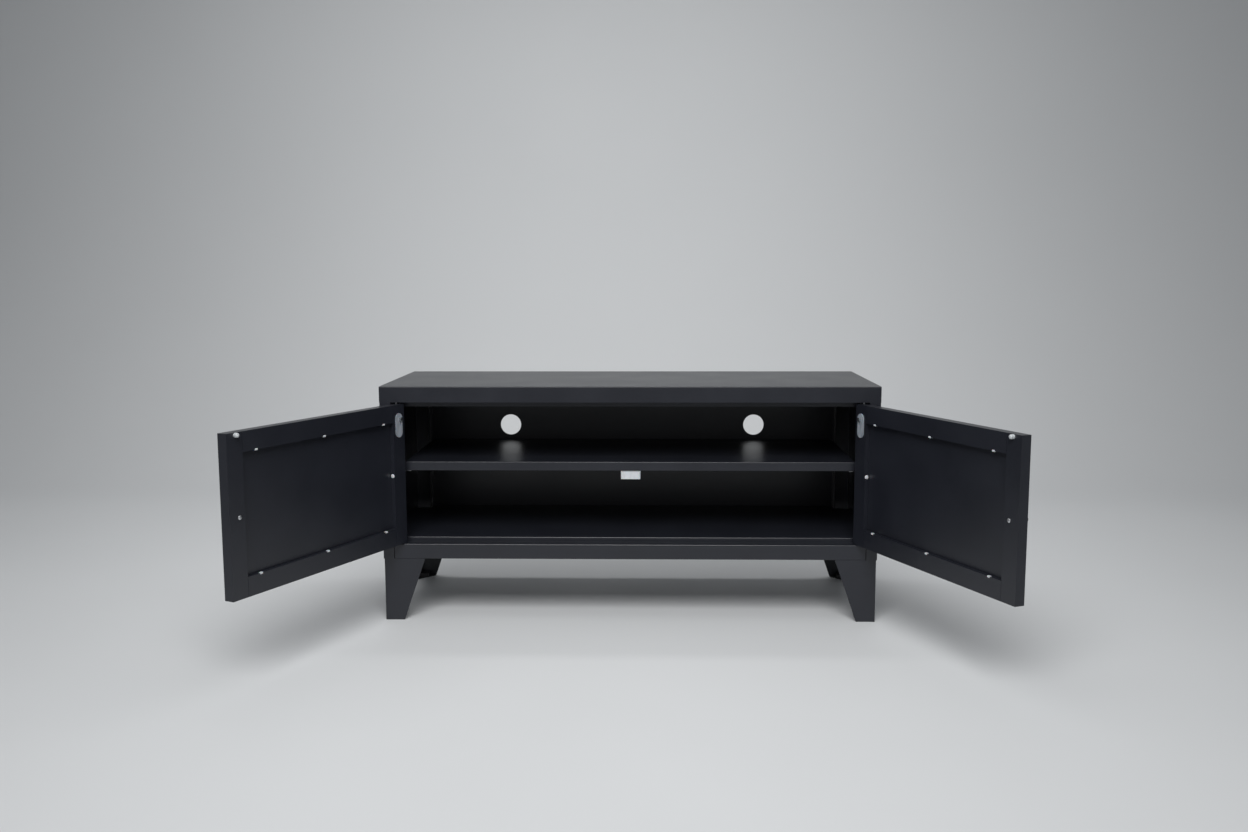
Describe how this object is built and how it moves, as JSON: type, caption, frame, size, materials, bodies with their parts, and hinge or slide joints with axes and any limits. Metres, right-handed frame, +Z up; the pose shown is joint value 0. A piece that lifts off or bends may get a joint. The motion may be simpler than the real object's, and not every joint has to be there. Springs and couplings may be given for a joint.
{
  "type": "media cabinet",
  "caption": "Low sheet-steel media cabinet on tapered legs, with two hinged doors on sprung pins, a middle shelf, a magnetic catch and cable holes in the back.",
  "frame": {"origin": "centre of the whole object's footprint with the doors open, on the floor", "axes": "+Z up, +X along the width towards the right-hand door, -Y towards the front where the doors open"},
  "size_m": [1.612, 0.9314, 0.576],
  "materials": {
    "powder_coat": "satin near-black powder coat",
    "zinc": "bright zinc plate",
    "spring_steel": "bright drawn wire",
    "natural_nylon": "moulded translucent natural nylon",
    "white_nylon": "moulded white nylon",
    "clear_rubber": "clear soft polymer",
    "black_plastic": "moulded black",
    "ferrite": "pressed dark ceramic"
  },
  "bodies": {
    "carcass": {"top_cap": "powder_coat", "left_side_panel": "powder_coat", "right_side_panel": "powder_coat", "back_panel": "powder_coat", "floor_panel": "powder_coat", "bottom_rail": "powder_coat", "header_rail": "powder_coat", "middle_shelf": "powder_coat", "left_front_shelf_support": "zinc", "right_front_shelf_support": "zinc", "left_rear_shelf_support": "zinc", "right_rear_shelf_support": "zinc", "left_front_leg": "powder_coat", "right_front_leg": "powder_coat", "left_rear_leg": "powder_coat", "right_rear_leg": "powder_coat", "left_front_glide": "black_plastic", "right_front_glide": "black_plastic", "left_rear_glide": "black_plastic", "right_rear_glide": "black_plastic", "catch_housing": "white_nylon", "left_magnet": "ferrite", "right_magnet": "ferrite", "left_pin_bush": "white_nylon", "right_pin_bush": "white_nylon"},
    "left_door": {"left_door_shell": "powder_coat", "left_door_liner": "powder_coat", "left_door_bumper": "clear_rubber", "left_door_knob": "powder_coat", "left_knob_screw": "zinc", "left_pin_housing": "natural_nylon", "left_pin_spring": "spring_steel", "left_bottom_pin": "zinc", "left_liner_rivet": "white_nylon", "left_upper_liner_clip_1": "white_nylon", "left_lower_liner_clip_1": "white_nylon", "left_upper_liner_clip_2": "white_nylon", "left_lower_liner_clip_2": "white_nylon", "left_upper_liner_clip_3": "white_nylon", "left_lower_liner_clip_3": "white_nylon"},
    "left_pin": {"left_top_pin": "zinc"},
    "right_door": {"right_door_shell": "powder_coat", "right_door_liner": "powder_coat", "right_door_bumper": "clear_rubber", "right_door_knob": "powder_coat", "right_knob_screw": "zinc", "right_pin_housing": "natural_nylon", "right_pin_spring": "spring_steel", "right_bottom_pin": "zinc", "right_liner_rivet": "white_nylon", "right_upper_liner_clip_1": "white_nylon", "right_lower_liner_clip_1": "white_nylon", "right_upper_liner_clip_2": "white_nylon", "right_lower_liner_clip_2": "white_nylon", "right_upper_liner_clip_3": "white_nylon", "right_lower_liner_clip_3": "white_nylon"},
    "right_pin": {"right_top_pin": "zinc"}
  },
  "joints": [
    {"name": "left_door_hinge", "type": "hinge", "parent": "carcass", "child": "left_door", "pos_m": [-0.55397, 0.05341, 0], "axis": [0, 0, 1], "range_deg": [-3, 115.1]},
    {"name": "left_pin_slide", "type": "slide", "parent": "left_door", "child": "left_pin", "axis": [0, 0, -1], "range_m": [0, 0.011], "stiffness_N_per_m": 300, "springref_m": -0.01, "deforming": ["left_pin_spring"]},
    {"name": "right_door_hinge", "type": "hinge", "parent": "carcass", "child": "right_door", "pos_m": [0.56743, 0.05341, 0], "axis": [0, 0, -1], "range_deg": [-3, 113.5]},
    {"name": "right_pin_slide", "type": "slide", "parent": "right_door", "child": "right_pin", "axis": [0, 0, -1], "range_m": [0, 0.011], "stiffness_N_per_m": 300, "springref_m": -0.01, "deforming": ["right_pin_spring"]}
  ]
}
